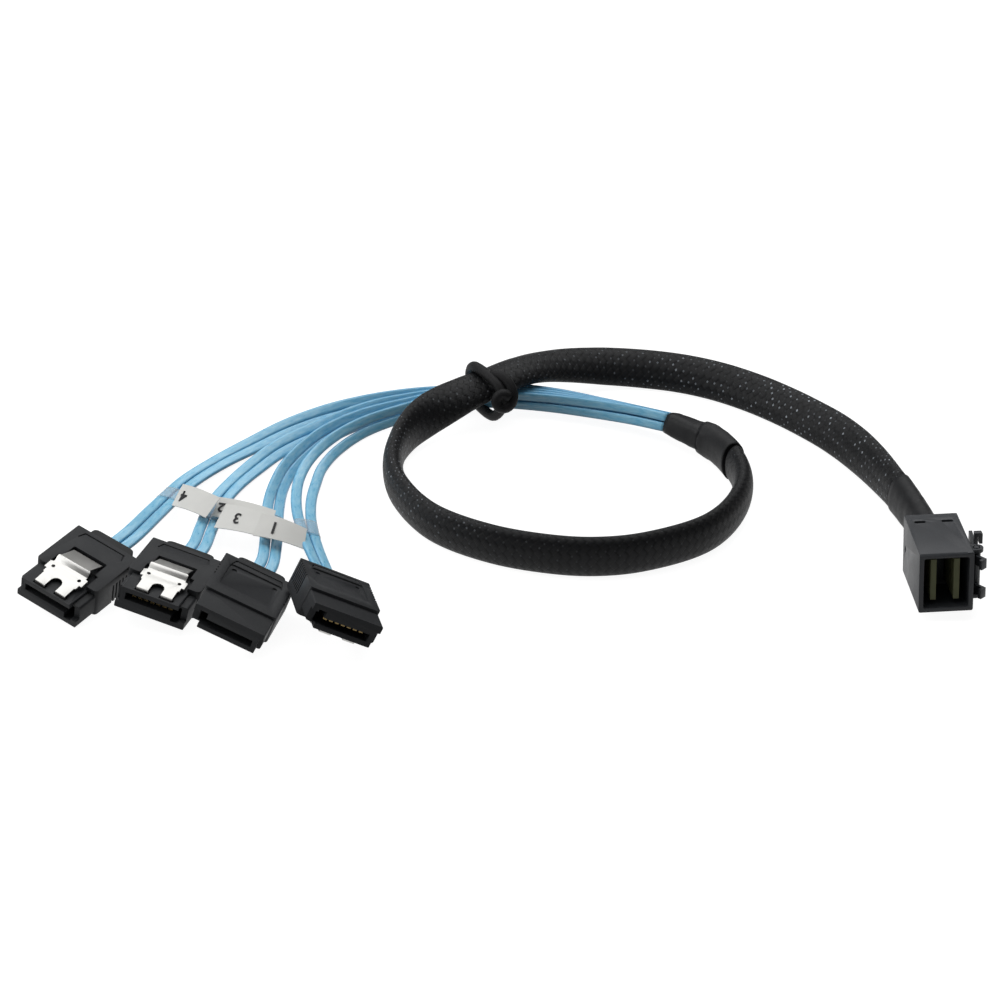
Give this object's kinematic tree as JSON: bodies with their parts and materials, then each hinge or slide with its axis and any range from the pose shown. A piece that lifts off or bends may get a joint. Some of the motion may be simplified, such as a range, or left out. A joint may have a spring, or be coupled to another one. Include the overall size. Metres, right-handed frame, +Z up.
{
  "type": "mini sas breakout cable",
  "caption": "Breakout cable with a latching multi-lane host plug, a braided trunk laid in a tied loop, and flat blue leads in labelled pairs to latching drive plugs.",
  "frame": {"origin": "on the surface the cable lies on, under the middle of the box round the rigid plugs", "axes": "+X across the lying cable from the drive plugs to the host plug, +Y away from the plugs' noses towards the loop, +Z up"},
  "size_m": [0.1883, 0.116, 0.0147],
  "materials": {
    "housing": "fine moulded grain, near black",
    "inner_plastic": "matt, black",
    "card": "olive circuit board with bare pads",
    "contacts": "gold-plated contacts on a black insert",
    "spring": "bright rolled sheet",
    "sleeve": "black braided filament with a low sheen",
    "shrink": "smooth, dull, black",
    "tie": "dull black",
    "lead": "light blue, translucent over foil",
    "label": "off-white printed film"
  },
  "bodies": {
    "cable": {"host_shell": "housing", "host_rear_insert": "inner_plastic", "host_card_left": "card", "host_card_right": "card", "drive_housing_1": "housing", "drive_relief_1": "inner_plastic", "drive_contacts_1": "contacts", "drive_housing_2": "housing", "drive_relief_2": "inner_plastic", "drive_contacts_2": "contacts", "drive_housing_3": "housing", "drive_relief_3": "inner_plastic", "drive_contacts_3": "contacts", "drive_housing_4": "housing", "drive_relief_4": "inner_plastic", "drive_contacts_4": "contacts", "host_shrink": "shrink", "trunk_sleeve": "sleeve", "breakout_shrink_outer": "shrink", "breakout_shrink_inner": "shrink", "trunk_tie": "tie", "lead_1a": "lead", "lead_1b": "lead", "lead_2a": "lead", "lead_2b": "lead", "lead_3a": "lead", "lead_3b": "lead", "lead_4a": "lead", "lead_4b": "lead", "label_1": "label", "label_2": "label", "label_3": "label", "label_4": "label"},
    "host_lever": {"host_latch": "housing"},
    "spring_1": {"drive_latch_1": "spring"},
    "spring_2": {"drive_latch_2": "spring"},
    "spring_3": {"drive_latch_3": "spring"},
    "spring_4": {"drive_latch_4": "spring"}
  },
  "joints": [
    {"name": "host_release", "type": "hinge", "parent": "cable", "child": "host_lever", "pos_m": [0.09242, 0.00302, 0.00812], "axis": [-0.039, 0.1118, 0.993], "range_deg": [0, 5], "stiffness_Nm_per_rad": 0.1},
    {"name": "drive_release_1", "type": "hinge", "parent": "cable", "child": "spring_1", "pos_m": [-0.03088, -0.0165, 0.00581], "axis": [0.8655, 0.1372, -0.4817], "range_deg": [0, 4], "stiffness_Nm_per_rad": 0.1},
    {"name": "drive_release_2", "type": "hinge", "parent": "cable", "child": "spring_2", "pos_m": [-0.05261, -0.01377, 0.00365], "axis": [0.903, -0.2246, -0.3662], "range_deg": [0, 4], "stiffness_Nm_per_rad": 0.1},
    {"name": "drive_release_3", "type": "hinge", "parent": "cable", "child": "spring_3", "pos_m": [-0.06628, -0.00534, 0.00848], "axis": [-0.9363, 0.2769, 0.216], "range_deg": [0, 4], "stiffness_Nm_per_rad": 0.1},
    {"name": "drive_release_4", "type": "hinge", "parent": "cable", "child": "spring_4", "pos_m": [-0.08688, -0.00151, 0.00712], "axis": [-0.8306, 0.5132, 0.2161], "range_deg": [0, 4], "stiffness_Nm_per_rad": 0.1}
  ]
}
